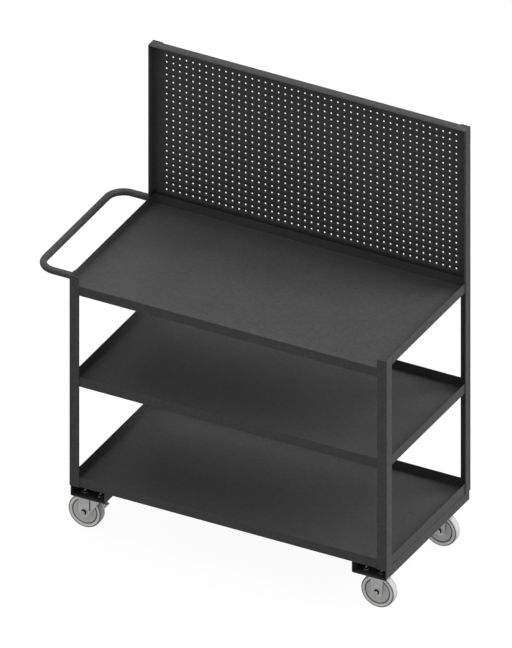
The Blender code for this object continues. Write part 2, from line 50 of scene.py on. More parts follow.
TRAY_CORNER = 0.003  # radius of a welded corner, seen from above
FOLD_RADIUS = 0.0012  # inside a fold
FOLD_STEPS = 5
EASE = 0.001  # flat strip beside a fold, which keeps the wide faces flat in shading
LEAST_CORNER = 0.0006
TRAY_FLOOR_REACH = 0.03
CUT_EDGE = 0.0004  # rounding of a cut edge of sheet

COAT_COLOUR = (0.0395, 0.0395, 0.0405)
COAT_PALE = (0.0508, 0.0508, 0.0518)
# paler colour for specks and for sharp edges, where it is partly wear and partly a painted highlight
COAT_WORN_AND_HIGHLIGHT = (0.085, 0.085, 0.087)
COAT_GRAIN = 1100.0  # texture bumps to the metre
COAT_MOTTLE = 95.0  # darker and paler patches to the metre
COAT_CLOUDS = 5.0
BEVEL_ANGLE = 40  # degrees: a sharper edge than this is rounded


class Signal:
    """A number that varies over a material: sums on it add Math nodes."""

    def __init__(self, finish, socket):
        self.finish = finish
        self.socket = socket

    def join(self, operation, first, second):
        return self.finish.node("Math", {"operation": operation}, {0: first, 1: second})

    def __add__(self, other):
        return self.join("ADD", self, other)

    def __radd__(self, other):
        return self.join("ADD", other, self)

    def __sub__(self, other):
        return self.join("SUBTRACT", self, other)

    def __rsub__(self, other):
        return self.join("SUBTRACT", other, self)

    def __mul__(self, other):
        return self.join("MULTIPLY", self, other)

    def __rmul__(self, other):
        return self.join("MULTIPLY", other, self)


class Finish:
    """A material under construction, on one Principled shader."""

    def __init__(self, name, metallic=0.0, specular=0.5):
        self.material = bpy.data.materials.new(name)
        self.material.use_nodes = True
        self.tree = self.material.node_tree
        self.shader = self.tree.nodes["Principled BSDF"]
        self.shader.inputs["Metallic"].default_value = metallic
        self.shader.inputs["Specular IOR Level"].default_value = specular
        self.place = self.node("TexCoord", output="Object")

    def feed(self, socket, value):
        if isinstance(value, Signal):
            self.tree.links.new(value.socket, socket)
        elif socket.type == "RGBA":
            socket.default_value = (*value, 1.0)
        else:
            socket.default_value = value

    def node(self, kind, settings=None, values=None, output=0):
        made = self.tree.nodes.new("ShaderNode" + kind)
        for name, value in (settings or {}).items():
            setattr(made, name, value)
        for name, value in (values or {}).items():
            self.feed(made.inputs[name], value)
        return Signal(self, made.outputs[output])

    def noise(self, scale, detail=3.0, roughness=0.5):
        values = {"Vector": self.place, "Scale": scale, "Detail": detail, "Roughness": roughness}
        return self.node("TexNoise", None, values)

    def between(self, value, low, high):
        values = {"Value": value, "From Min": low, "From Max": high}
        return self.node("MapRange", {"interpolation_type": "SMOOTHSTEP"}, values)

    def blend(self, share, first, second):
        values = {0: share, 6: first, 7: second}
        return self.node("Mix", {"data_type": "RGBA"}, values, output=2)

    def edges(self, low, high):
        sharpness = self.node("NewGeometry", output="Pointiness")
        return self.between(sharpness, low, high)

    def finish(self, colour, roughness, height=None, depth=0.0):
        self.feed(self.shader.inputs["Base Color"], colour)
        self.feed(self.shader.inputs["Roughness"], roughness)
        if height is not None:
            values = {"Height": height, "Distance": depth}
            self.feed(self.shader.inputs["Normal"], self.node("Bump", None, values, "Normal"))
        return self.material


def make_coat(name, dark, pale, worn_and_highlight):
    """Textured powder coat: fine grain, soft mottle, and paler edges, partly from wear of a thinner
    film and partly a painted highlight.
    """
    coat = Finish(name, specular=0.22)
    clouds = coat.noise(COAT_CLOUDS, 4.0, 0.55)
    grain = coat.noise(COAT_GRAIN, 2.0)
    specks = coat.between(coat.noise(COAT_GRAIN / 4, 1.0), 0.62, 0.8)
    mottle = coat.noise(COAT_MOTTLE, 2.0)
    tone = coat.between(0.6 * clouds + 0.35 * grain + 1.2 * mottle, 0.8, 1.35)
    colour = coat.blend(tone, dark, pale)
    # Paler sharp edges: partly wear of a thinner film, partly a painted highlight.
    thin_edge_and_highlight = coat.edges(0.52, 0.60) * coat.between(coat.noise(60.0, 3.0), 0.4, 0.65)
    colour = coat.blend(0.25 * thin_edge_and_highlight + 0.12 * specks, colour, worn_and_highlight)
    roughness = 0.46 + 0.10 * clouds + 0.06 * grain - 0.08 * thin_edge_and_highlight
    return coat.finish(colour, roughness, grain + 0.5 * specks, 0.00012)


charcoal_coat = make_coat("charcoal_coat", COAT_COLOUR, COAT_PALE, COAT_WORN_AND_HIGHLIGHT)


def fold(path, thickness, inside_radius):
    """Both faces of a sheet that is folded along a path on its middle, as pairs of points."""
    path = [Vector(point) for point in path]
    radius = inside_radius + thickness / 2
    spots = [(path[0], (path[1] - path[0]).normalized())]
    for before, corner, after in zip(path, path[1:], path[2:]):
        into = (corner - before).normalized()
        out = (after - corner).normalized()
        turn = math.atan2(into.x * out.y - into.y * out.x, into.dot(out))
        side = math.copysign(1, turn)
        reach = radius * math.tan(abs(turn) / 2)
        centre = corner - into * reach + Vector((-into.y, into.x)) * radius * side
        spots.append((corner - into * (reach + EASE), into))
        for step in range(FOLD_STEPS + 1):
            heading = Matrix.Rotation(turn * step / FOLD_STEPS, 2) @ into
            spots.append((centre - Vector((-heading.y, heading.x)) * radius * side, heading))
        spots.append((corner + out * (reach + EASE), out))
    spots.append((path[-1], out))
    pairs = []
    for spot, heading in spots:
        away = Vector((-heading.y, heading.x)) * thickness / 2
        pairs.append((spot + away, spot - away))
    return pairs


def strip(shape, lower, upper, closed=False):
    """Fills between two rows of equally many points with quads."""
    count = len(lower)
    for index in range(count if closed else count - 1):
        after = (index + 1) % count
        shape.faces.new((lower[index], lower[after], upper[after], upper[index]))


def run_sheet(shape, pairs, low, high, place):
    """Runs a folded section from low to high; place turns (p, q, distance) into a point."""
    ends = []
    for depth in (low, high):
        ends.append([[shape.verts.new(place(*side, depth)) for side in pair] for pair in pairs])
    for index in range(len(pairs) - 1):
        for side in (0, 1):
            first, second = ends[0][index][side], ends[0][index + 1][side]
            third, fourth = ends[1][index + 1][side], ends[1][index][side]
            shape.faces.new((first, second, third, fourth))
        for end in ends:
            shape.faces.new((*end[index], *reversed(end[index + 1])))
    for index in (0, -1):
        shape.faces.new((*ends[0][index], *reversed(ends[1][index])))


def new_object(name, data):
    made = bpy.data.objects.new(name, data)
    bpy.context.scene.collection.objects.link(made)
    return made


def new_mesh(name, shape):
    """Turns a bmesh into a mesh with its faces turned outward."""
    bmesh.ops.recalc_face_normals(shape, faces=shape.faces)
    mesh = bpy.data.meshes.new(name)
    shape.to_mesh(mesh)
    shape.free()
    return mesh


def add_piece(name, shape, material, body, nodes, bevel=0.0, smooth_angle=32, slot=None):
    """Turns a bmesh into a finished piece that rides on a body and stands for CAD nodes."""
    return dress(name, new_mesh(name, shape), material, body, nodes, bevel, smooth_angle, slot)


def dress(name, mesh, material, body, nodes, bevel=0.0, smooth_angle=32, slot=None):
    """The slot is worked out from the material's name, without Blender's number, unless another is
    given, and is then not used.
    """
    mesh.shade_smooth()
    mesh.set_sharp_from_angle(angle=math.radians(smooth_angle))
    if material:
        mesh.materials.clear()
        mesh.materials.append(material)
    piece = new_object(name, mesh)
    if bevel:
        rounded = piece.modifiers.new("Rounded edges", "BEVEL")
        rounded.width = bevel
        rounded.segments = 2
        rounded.limit_method = "ANGLE"
        rounded.angle_limit = math.radians(BEVEL_ANGLE)
        rounded.harden_normals = True
    slot = slot or material.name.split(".")[0]
    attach(piece, body)
    if nodes:
        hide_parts(*nodes)
    return piece


def middle_of(node):
    low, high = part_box(node)
    return (low + high) / 2


def round_corner(x, y, toward_x, toward_y, radius, steps):
    """Points round a plan corner, from the side that runs along Y to the one along X."""
    centre = (x + toward_x * radius, y + toward_y * radius)
    points = []
    for step in range(steps + 1):
        angle = math.radians(90) * step / steps
        across = -toward_x * radius * math.cos(angle)
        along = -toward_y * radius * math.sin(angle)
        points.append((centre[0] + across, centre[1] + along))
    return points


def rounded_plan(left, right, front, back, radius, steps=4):
    """A rectangle with round corners, seen from above. Its first half is the back corners."""
    plan = round_corner(left, back, 1, -1, radius, steps)
    plan += round_corner(right, back, -1, -1, radius, steps)[::-1]
    plan += round_corner(right, front, -1, 1, radius, steps)
    return plan + round_corner(left, front, 1, 1, radius, steps)[::-1]


def pan(shape, low, high, rim, front_join=None):
    """A folded tray with its sides turned up. With a front_join its front stays open there."""
    middle = low.z + TRAY_SHEET / 2
    path = ((TRAY_FLOOR_REACH, middle), (TRAY_SHEET / 2, middle), (TRAY_SHEET / 2, rim))
    pairs = fold(path, TRAY_SHEET, FOLD_RADIUS)
    loops = []
    for inset, height in [pair[0] for pair in pairs] + [pair[1] for pair in reversed(pairs)]:
        radius = max(TRAY_CORNER - inset, LEAST_CORNER)
        left, right = low.x + inset, high.x - inset
        plan = rounded_plan(left, right, low.y + inset, high.y - inset, radius)
        if front_join is not None:
            plan = [(left, front_join), *plan[: len(plan) // 2], (right, front_join)]
        loops.append([shape.verts.new((x, y, height)) for x, y in plan])
    for lower, upper in zip(loops, loops[1:]):
        strip(shape, lower, upper, closed=front_join is None)
    shape.faces.new(loops[0])
    shape.faces.new(loops[-1])
    if front_join is None:
        return
    half = len(loops) // 2
    for end in (0, -1):
        for index in range(half - 1):
            one, two = loops[index][end], loops[index + 1][end]
            three, four = loops[-2 - index][end], loops[-1 - index][end]
            shape.faces.new((one, two, three, four))
    shape.faces.new((loops[0][0], loops[0][-1], loops[-1][-1], loops[-1][0]))


for tier in ("bottom", "middle"):
    low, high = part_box(tier + "_tray")
    shape = bmesh.new()
    pan(shape, low, high, high.z)
    add_piece("shelf_" + tier, shape, charcoal_coat, "frame", [tier + "_tray"], CUT_EDGE)

top_low, top_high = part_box("top_tray")
LIP_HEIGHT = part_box("bottom_tray")[1].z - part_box("bottom_tray")[0].z
top_floor = top_high.z - LIP_HEIGHT + TRAY_SHEET
front_join = top_low.y + TRAY_SHEET + FOLD_RADIUS + 2 * EASE
shape = bmesh.new()
pan(shape, Vector((top_low.x, top_low.y, top_floor - TRAY_SHEET)), top_high, top_high.z, front_join)
sheet_middle = top_floor - TRAY_SHEET / 2
front_face = top_low.y + TRAY_SHEET / 2
path = ((front_join, sheet_middle), (front_face, sheet_middle), (front_face, top_low.z))
run_sheet(shape, fold(path, TRAY_SHEET, FOLD_RADIUS), top_low.x, top_high.x, lambda p, q, d: (d, p, q))
add_piece("shelf_top", shape, charcoal_coat, "frame", ["top_tray"], CUT_EDGE)


# Corner posts: four angles of 3.2 mm steel, folded to 38 mm legs with a round outer corner. The
# front pair stops at the rim of the top tray, and the back pair runs up behind the panel. The trays
# stand inside them and are welded to their legs.
POST_SHEET = 0.003175
POST_FOLD = 0.0004
POST_EDGE = 0.0005
for side in ("front", "back"):
    for end in ("left", "right"):
        name = f"post_{side}_{end}"
        low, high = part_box(name)
        leg = high.x - low.x
        middle = POST_SHEET / 2
        corner_x, inward_x = (low.x, 1) if end == "left" else (high.x, -1)
        corner_y, inward_y = (low.y, 1) if side == "front" else (high.y, -1)
        pairs = fold(((leg, middle), (middle, middle), (middle, leg)), POST_SHEET, POST_FOLD)
        shape = bmesh.new()
        place = lambda p, q, d: (corner_x + inward_x * p, corner_y + inward_y * q, d)
        run_sheet(shape, pairs, low.z, high.z, place)
        add_piece("corner_" + name, shape, charcoal_coat, "frame", [name], POST_EDGE)


# Back panel: one sheet of 1.5 mm perforated steel in front of the back posts, with 45 by 22 round
# holes of 6.35 mm on a 25.4 mm pitch for hooks. Its top and both ends are folded forward 38 mm, which
# stiffens it. It is coated with the rest of the frame.
PANEL_SHEET = 0.0015
PANEL_FOLD = 0.0015
HOLE_PITCH = 0.0254
HOLE_RADIUS = 0.003175
HOLE_SIDES = 16
HOLE_COLUMNS = 45
HOLE_ROWS = 22
TOP_ROW_DROP = 0.0457  # top of the panel to the first row
WELD_DISTANCE = 0.00005  # closer points of neighbouring cells are one point
NEAR = 0.0001


class Grower:
    """A Geometry Nodes tree under construction, with named inputs for its sizes."""

    def __init__(self, name, sizes):
        self.tree = bpy.data.node_groups.new(name, "GeometryNodeTree")
        interface = self.tree.interface
        interface.new_socket("Geometry", in_out="INPUT", socket_type="NodeSocketGeometry")
        interface.new_socket("Geometry", in_out="OUTPUT", socket_type="NodeSocketGeometry")
        kinds = {float: "NodeSocketFloat", int: "NodeSocketInt"}
        for label, value in sizes.items():
            kind = kinds.get(type(value), "NodeSocketObject")
            made = interface.new_socket(label, in_out="INPUT", socket_type=kind)
            if kind != "NodeSocketObject":
                made.default_value = value
        self.sizes = sizes
        self.start = self.tree.nodes.new("NodeGroupInput").outputs

    def node(self, kind, settings=None, values=None):
        """Adds a node. A kind without "Node" in its name is one of the GeometryNode kinds."""
        made = self.tree.nodes.new(kind if "Node" in kind else "GeometryNode" + kind)
        for name, value in (settings or {}).items():
            setattr(made, name, value)
        for name, value in (values or {}).items():
            if isinstance(value, bpy.types.NodeSocket):
                self.tree.links.new(value, made.inputs[name])
            else:
                made.inputs[name].default_value = value
        return made.outputs

    def math(self, operation, *values):
        return self.node("ShaderNodeMath", {"operation": operation}, dict(enumerate(values)))[0]

    def paint(self, geometry, material):
        """Realises the instances and sets the material."""
        real = self.node("RealizeInstances", None, {0: geometry})[0]
        return self.node("SetMaterial", None, {0: real, "Material": material})[0]

    def end(self, geometry):
        self.node("NodeGroupOutput", None, {0: geometry})

    def grow(self, base):
        """Runs the tree on a base mesh, and returns the result as a plain mesh."""
        maker = new_object(self.tree.name + "_base", base)
        modifier = maker.modifiers.new("Grow", "NODES")
        modifier.node_group = self.tree
        for item in self.tree.interface.items_tree:
            if item.in_out == "INPUT" and item.name in self.sizes:
                modifier[item.identifier] = self.sizes[item.name]
        graph = bpy.context.evaluated_depsgraph_get()
        mesh = bpy.data.meshes.new_from_object(maker.evaluated_get(graph), depsgraph=graph)
        bpy.data.objects.remove(maker)
        return mesh


def add_wall(piece, thickness, even=False):
    """Gives a sheet its thickness, half to each side, before its edges are rounded."""
    wall = piece.modifiers.new("Sheet", "SOLIDIFY")
    wall.thickness = thickness
    wall.offset = 0.0
    wall.use_even_offset = even
    piece.modifiers.move(len(piece.modifiers) - 1, 0)


perforation = Grower(
    "perforated_field",
    {
        "Columns": HOLE_COLUMNS,
        "Rows": HOLE_ROWS,
        "Pitch": HOLE_PITCH,
        "Hole Radius": HOLE_RADIUS,
        "Hole Sides": HOLE_SIDES,
    },
)
sizes = perforation.start
half_pitch = perforation.math("MULTIPLY", sizes["Pitch"], 0.5)
ring = perforation.node(
    "MeshCircle",
    {"fill_type": "NONE"},
    {"Vertices": sizes["Hole Sides"], "Radius": sizes["Hole Radius"]},
)
collar = perforation.node(
    "ExtrudeMesh", {"mode": "EDGES"}, {"Mesh": ring["Mesh"], "Offset Scale": 0.0}
)
spot = perforation.node("InputPosition")[0]
parts = perforation.node("ShaderNodeSeparateXYZ", None, {0: spot})
reaches = [perforation.math("ABSOLUTE", parts[axis]) for axis in ("X", "Y")]
stretch = perforation.math("DIVIDE", half_pitch, perforation.math("MAXIMUM", *reaches))
squared = perforation.node(
    "ShaderNodeVectorMath", {"operation": "SCALE"}, {"Vector": spot, "Scale": stretch}
)[0]
values = {"Geometry": collar["Mesh"], "Selection": collar["Top"], "Position": squared}
cell = perforation.node("SetPosition", None, values)[0]
gaps = [perforation.math("SUBTRACT", sizes[count], 1.0) for count in ("Columns", "Rows")]
spans = [perforation.math("MULTIPLY", count, sizes["Pitch"]) for count in gaps]
values = {"Size X": spans[0], "Size Y": spans[1]}
values.update({"Vertices X": sizes["Columns"], "Vertices Y": sizes["Rows"]})
lattice = perforation.node("MeshGrid", None, values)
values = {"Points": lattice["Mesh"], "Instance": cell}
cells = perforation.node("InstanceOnPoints", None, values)[0]
real_cells = perforation.node("RealizeInstances", None, {0: cells})[0]
values = {"Geometry": real_cells, "Distance": WELD_DISTANCE}
field = perforation.node("MergeByDistance", None, values)[0]
perforation.end(perforation.paint(field, charcoal_coat))
field_mesh = perforation.grow(bpy.data.meshes.new("panel_seed"))

low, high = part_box("pegboard_panel")
shape = bmesh.new()
shape.from_mesh(field_mesh)
field_x = (low.x + high.x) / 2
field_z = high.z - TOP_ROW_DROP - (HOLE_ROWS - 1) * HOLE_PITCH / 2
sheet_y = high.y - PANEL_SHEET / 2
half_x = HOLE_COLUMNS * HOLE_PITCH / 2
half_z = HOLE_ROWS * HOLE_PITCH / 2
for vertex in shape.verts:
    vertex.co = (field_x + vertex.co.x, sheet_y, field_z + vertex.co.y)
reach_x, reach_z = half_x - NEAR, half_z - NEAR
left_edge = [v for v in shape.verts if v.co.x < field_x - reach_x]
right_edge = [v for v in shape.verts if v.co.x > field_x + reach_x]
top_edge = [v for v in shape.verts if v.co.z > field_z + reach_z]
bottom_edge = [v for v in shape.verts if v.co.z < field_z - reach_z]
chain = sorted(left_edge, key=lambda v: v.co.z)
chain += sorted(top_edge, key=lambda v: v.co.x)[1:]
chain += sorted(right_edge, key=lambda v: -v.co.z)[1:]
last_left = len(left_edge) - 1
last_top = last_left + len(top_edge) - 1
bottom_row = sorted(bottom_edge, key=lambda v: v.co.x)
flat = PANEL_SHEET / 2
flange_depth = high.y - low.y - flat
flange_path = ((-flange_depth, 0.0), (0.0, 0.0), (0.0, flange_depth))
stations = []
for first, second in fold(flange_path, PANEL_SHEET, PANEL_FOLD)[1:]:
    stations.append((first + second) / 2)
left_end, right_end, top_end = low.x + flat, high.x - flat, high.z - flat
previous = chain
for outward, forward in stations:
    loop = []
    for index, vertex in enumerate(chain):
        x, z = vertex.co.x, vertex.co.z
        if index == 0 or index == len(chain) - 1:
            z = low.z
        if index <= last_left:
            x = left_end - outward
        if index >= last_top:
            x = right_end + outward
        if last_left <= index <= last_top:
            z = top_end + outward
        loop.append(shape.verts.new((x, sheet_y - forward, z)))
    strip(shape, previous, loop)
    if previous is chain:
        base = [loop[0]]
        base += [shape.verts.new((v.co.x, sheet_y, low.z)) for v in bottom_row[1:-1]]
        base += [loop[-1]]
        strip(shape, base, bottom_row)
    previous = loop
panel = add_piece("peg_panel", shape, charcoal_coat, "frame", ["pegboard_panel"])
add_wall(panel, PANEL_SHEET, even=True)


# Push handle: one length of 25.4 mm steel tube with a 1.7 mm wall, bent twice to a U and welded to
# the left posts level with the rim of the top tray. It is coated with the frame.
TUBE_RADIUS = 0.0127
TUBE_WALL = 0.0017
TUBE_BEND = 0.0635
TUBE_SIDES = 32
TUBE_BEND_STEPS = 14


def loft(shape, rings, closed=False, capped=False):
    """Joins rings of equally many points into a skin."""
    loops = [[shape.verts.new(point) for point in ring] for ring in rings]
    pairs = list(zip(loops, loops[1:]))
    if closed:
        pairs.append((loops[-1], loops[0]))
    for lower, upper in pairs:
        strip(shape, lower, upper, closed=True)
    if capped:
        shape.faces.new(loops[0])
        shape.faces.new(loops[-1])


low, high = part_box("push_handle")
bar_x = low.x + TUBE_RADIUS
half_y = (high.y - low.y) / 2 - TUBE_RADIUS
level = (low.z + high.z) / 2
straight_x = bar_x + TUBE_BEND + EASE
stops = [(high.x, half_y, 90), (straight_x, half_y, 90)]
for centre_y, start in ((half_y - TUBE_BEND, 90), (TUBE_BEND - half_y, 180)):
    for step in range(TUBE_BEND_STEPS + 1):
        angle = start + 90 * step / TUBE_BEND_STEPS
        turn = math.radians(angle)
        x = bar_x + TUBE_BEND + TUBE_BEND * math.cos(turn)
        stops.append((x, centre_y + TUBE_BEND * math.sin(turn), angle))
stops += [(straight_x, -half_y, 270), (high.x, -half_y, 270)]
skins = []
for radius in (TUBE_RADIUS, TUBE_RADIUS - TUBE_WALL):
    rings = []
    for x, y, angle in stops:
        outward = Vector((math.cos(math.radians(angle)), math.sin(math.radians(angle)), 0))
        ring = []
        for index in range(TUBE_SIDES):
            turn = 2 * math.pi * index / TUBE_SIDES
            across = outward * radius * math.cos(turn)
            ring.append(Vector((x, y, level)) + across + Vector((0, 0, radius * math.sin(turn))))
        rings.append(ring)
    skins.append(rings)
shape = bmesh.new()
loft(shape, skins[0] + skins[1][::-1], closed=True)
add_piece("handle_tube", shape, charcoal_coat, "frame", ["push_handle"], CUT_EDGE)


# Caster channels: a channel of 3.2 mm steel, 133 mm wide with 41 mm legs, runs across each end
# under the bottom tray with its web down, and takes the two casters of that end.
CHANNEL_SHEET = 0.003175
CHANNEL_FOLD = 0.0016
for end in ("left", "right"):
    name = "caster_channel_" + end
    low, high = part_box(name)
    middle = CHANNEL_SHEET / 2
    path = (
        (low.x + middle, high.z),
        (low.x + middle, low.z + middle),
        (high.x - middle, low.z + middle),
        (high.x - middle, high.z),
    )
    shape = bmesh.new()
    pairs = fold(path, CHANNEL_SHEET, CHANNEL_FOLD)
    run_sheet(shape, pairs, low.y, high.y, lambda p, q, d: (p, d, q))
    add_piece(end + "_channel", shape, charcoal_coat, "frame", [name], CUT_EDGE)


# Weld beads: the trays, posts, channels and handle are joined with short runs of gas-shielded weld,
# laid as overlapping ripples about 2 mm apart and then coated with the frame.
BEAD = 0.0013
BEAD_PITCH = 0.0018
WELD_END = 0.003  # a run stops this far above the tray's floor and below its rim
WELD_FOOT = 0.004
FRONT_WELD_DROP = 0.005
WELD_STAND = 0.0004  # from the steel's face to the middle of the bead
WELD_RUN = 0.04
CHANNEL_WELDS = (0.14, 0.38, 0.62, 0.86)  # shares of the channel's length
HANDLE_WELD_STEPS = 24
seams = bmesh.new()


def seam(*points):
    """A run of weld through these points."""
    spots = [seams.verts.new(point) for point in points]
    for first, second in zip(spots, spots[1:]):
        seams.edges.new((first, second))


for tier in ("bottom", "middle", "top"):
    low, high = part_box(tier + "_tray")
    floor = (top_floor if tier == "top" else low.z + TRAY_SHEET) + WELD_END
    for end, inward_x, x in (("left", 1, low.x), ("right", -1, high.x)):
        for side, inward_y, y in (("front", 1, low.y), ("back", -1, high.y)):
            post_low, post_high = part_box(f"post_{side}_{end}")
            edge_x = post_high.x if end == "left" else post_low.x
            edge_y = post_high.y if side == "front" else post_low.y
            rim = high.z - WELD_END
            foot = low.z + WELD_FOOT
            if not (tier == "top" and side == "front"):
                inner = TRAY_SHEET + WELD_STAND
                corner = (x + inward_x * inner, y + inward_y * inner)
                seam((*corner, floor), (*corner, rim))
            if tier == "top" and side == "front":
                seam((edge_x, y, foot), (edge_x, y, top_floor - FRONT_WELD_DROP))
            else:
                seam((edge_x, y, foot), (edge_x, y, rim))
            if tier == "top":
                foot = floor
            seam((x, edge_y, foot), (x, edge_y, rim))

for end in ("left", "right"):
    low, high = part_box("caster_channel_" + end)
    for x in (low.x, high.x):
        for share in CHANNEL_WELDS:
            y = low.y + share * (high.y - low.y)
            seam((x, y - WELD_RUN / 2, high.z), (x, y + WELD_RUN / 2, high.z))

low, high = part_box("push_handle")
for y in (half_y, -half_y):
    ring = []
    for step in range(HANDLE_WELD_STEPS + 1):
        turn = 2 * math.pi * step / HANDLE_WELD_STEPS
        across = y + TUBE_RADIUS * math.cos(turn)
        ring.append((high.x - WELD_STAND, across, level + TUBE_RADIUS * math.sin(turn)))
    seam(*ring)

welder = Grower("weld_ripples", {"Ripple Pitch": BEAD_PITCH, "Bead Radius": BEAD, "Seed": 7})
sizes = welder.start
runs = welder.node("MeshToCurve", None, {"Mesh": sizes["Geometry"]})[0]
steps = welder.node(
    "ResampleCurve", {"mode": "LENGTH"}, {"Curve": runs, "Length": sizes["Ripple Pitch"]}
)[0]
drop = welder.node(
    "MeshUVSphere", None, {"Segments": 8, "Rings": 4, "Radius": sizes["Bead Radius"]}
)["Mesh"]
drop = welder.node("SetShadeSmooth", None, {"Geometry": drop})[0]
uneven = welder.node(
    "FunctionNodeRandomValue",
    {"data_type": "FLOAT"},
    {2: 0.85, 3: 1.15, "Seed": sizes["Seed"]},
)[1]
drops = welder.node(
    "InstanceOnPoints", None, {"Points": steps, "Instance": drop, "Scale": uneven}
)[0]
welder.end(welder.paint(drops, charcoal_coat))
seam_mesh = bpy.data.meshes.new("seams")
seams.to_mesh(seam_mesh)
seams.free()
dress("weld_beads", welder.grow(seam_mesh), charcoal_coat, "frame", [], smooth_angle=75)


# Mounting bolts: four 3/8 in. zinc-plated hex bolts hold each caster plate to its channel. The head
# is under the plate, and a zinc washer and a black nut are inside the channel.
BOLT_RADIUS = 0.0047625
BOLT_FLATS = 0.0142875
BOLT_HEAD = 0.006
WASHER_RADIUS = 0.0092
WASHER = 0.0016
WASHER_EDGE = 0.0003
HEX_SIDES = 6
HEX_CHAMFER = 0.0007
ROUND_SIDES = 24
THREAD_PITCH = 0.0015
SMALL_SHARP = 28  # degrees: on small hardware a sharper edge than this stays crisp

ZINC_PALE = (0.72, 0.72, 0.71)
ZINC_DARK = (0.56, 0.56, 0.56)


def make_zinc(name):
    """Zinc plate: pale, dull metal with soft crystals, fine scratches and darker traces, and painted
    shade near black where a vertex attribute marks a hollow.
    """
    zinc = Finish(name, metallic=0.55, specular=0.5)
    spangle = zinc.node("TexVoronoi", None, {"Vector": zinc.place, "Scale": 260.0}, "Distance")
    clouds = zinc.noise(45.0, 4.0, 0.6)
    scratches = zinc.noise(900.0, 2.0)
    tone = zinc.between(clouds + 0.4 * spangle, 0.35, 0.95)
    rubbed = zinc.edges(0.52, 0.62)
    colour = zinc.blend(tone, ZINC_PALE, ZINC_DARK)
    colour = zinc.blend(0.4 * rubbed, colour, (0.78, 0.78, 0.77))
    # Painted shade: near black where the vertex attribute is high, in the hollow of the pressed rib on
    # each fork leg.
    painted_shade_share = zinc.node("Attribute", {"attribute_name": "recess"}, output="Fac")
    colour = zinc.blend(0.85 * painted_shade_share, colour, (0.06, 0.06, 0.06))
    roughness = 0.40 + 0.16 * clouds + 0.08 * scratches - 0.08 * rubbed
    return zinc.finish(colour, roughness, spangle + 0.3 * scratches, 0.00006)


def make_black_oxide(name):
    """Black oxide on small steel nuts, with a trace of oil and bare steel on the edges."""
    black = Finish(name, metallic=0.3, specular=0.4)
    clouds = black.noise(220.0, 3.0)
    rubbed = black.edges(0.53, 0.65)
    colour = black.blend(clouds, (0.008, 0.008, 0.009), (0.02, 0.02, 0.021))
    colour = black.blend(0.35 * rubbed, colour, (0.12, 0.12, 0.12))
    return black.finish(colour, 0.42 + 0.18 * clouds, clouds, 0.00005)


zinc_plate = make_zinc("zinc_plate")
black_oxide = make_black_oxide("black_oxide")


def round_ring(radius, height, flats=None):
    """A ring of points round Z. With flats it is a hexagon, and still has as many points."""
    points = []
    for index in range(ROUND_SIDES):
        angle = 2 * math.pi * index / ROUND_SIDES
        if flats:
            from_flat = (angle + math.pi / HEX_SIDES) % (math.pi / 3) - math.pi / HEX_SIDES
            radius = flats / 2 / math.cos(from_flat)
        points.append(Vector((radius * math.cos(angle), radius * math.sin(angle), height)))
    return points


def round_rings(*steps):
    """Rings at steps of (radius, height)."""
    return [round_ring(radius, height) for radius, height in steps]


def hex_rings(flats, low, high):
    """A hex head or nut from low to high, with its six corners chamfered at both ends."""
    face = flats / 2 * 0.98
    sides = [round_ring(0, height, flats) for height in (low + HEX_CHAMFER, high - HEX_CHAMFER)]
    return [round_ring(face, low), *sides, round_ring(face, high)]


def thread_rings(radius, low, high):
    """A thread drawn as close grooves, with a chamfered end at high."""
    rings = []
    height = low
    while height < high - THREAD_PITCH:
        crest, root = height + 0.1 * THREAD_PITCH, height + 0.55 * THREAD_PITCH
        rings += round_rings((radius, crest), (radius * 0.9, root))
        height += THREAD_PITCH
    crest = height + 0.1 * THREAD_PITCH
    return rings + round_rings((radius, crest), (radius, high - 0.0008), (radius * 0.8, high))


def make_pattern(name, shape):
    """A shape that a tree repeats; it is removed once the tree has run."""
    mesh = new_mesh(name, shape)
    mesh.shade_smooth()
    mesh.set_sharp_from_angle(angle=math.radians(SMALL_SHARP))
    return new_object(name, mesh)


def repeat_at(name, spots, patterns):
    """Sets patterns of (shape, material) at points: one plain mesh with a material for each."""
    helpers = {}
    for index, (shape, _) in enumerate(patterns):
        helpers[f"Shape {index}"] = make_pattern(f"{name}_{index}", shape)
    repeater = Grower(name, {"Seed": 3, **helpers})
    turn = repeater.node(
        "FunctionNodeRandomValue",
        {"data_type": "FLOAT_VECTOR"},
        {0: (0.0, 0.0, 0.0), 1: (0.0, 0.0, 6.283), "Seed": repeater.start["Seed"]},
    )[0]
    meeting = repeater.tree.nodes.new("GeometryNodeJoinGeometry")
    for label, (_, material) in zip(helpers, patterns):
        info = repeater.node("ObjectInfo", None, {"Object": repeater.start[label]})
        values = {"Points": repeater.start["Geometry"], "Instance": info["Geometry"], "Rotation": turn}
        copies = repeater.node("InstanceOnPoints", None, values)[0]
        repeater.tree.links.new(repeater.paint(copies, material), meeting.inputs[0])
    repeater.end(meeting.outputs[0])
    base = bpy.data.meshes.new(name + "_spots")
    base.from_pydata(spots, [], [])
    mesh = repeater.grow(base)
    for helper in helpers.values():
        bpy.data.objects.remove(helper)
    return mesh


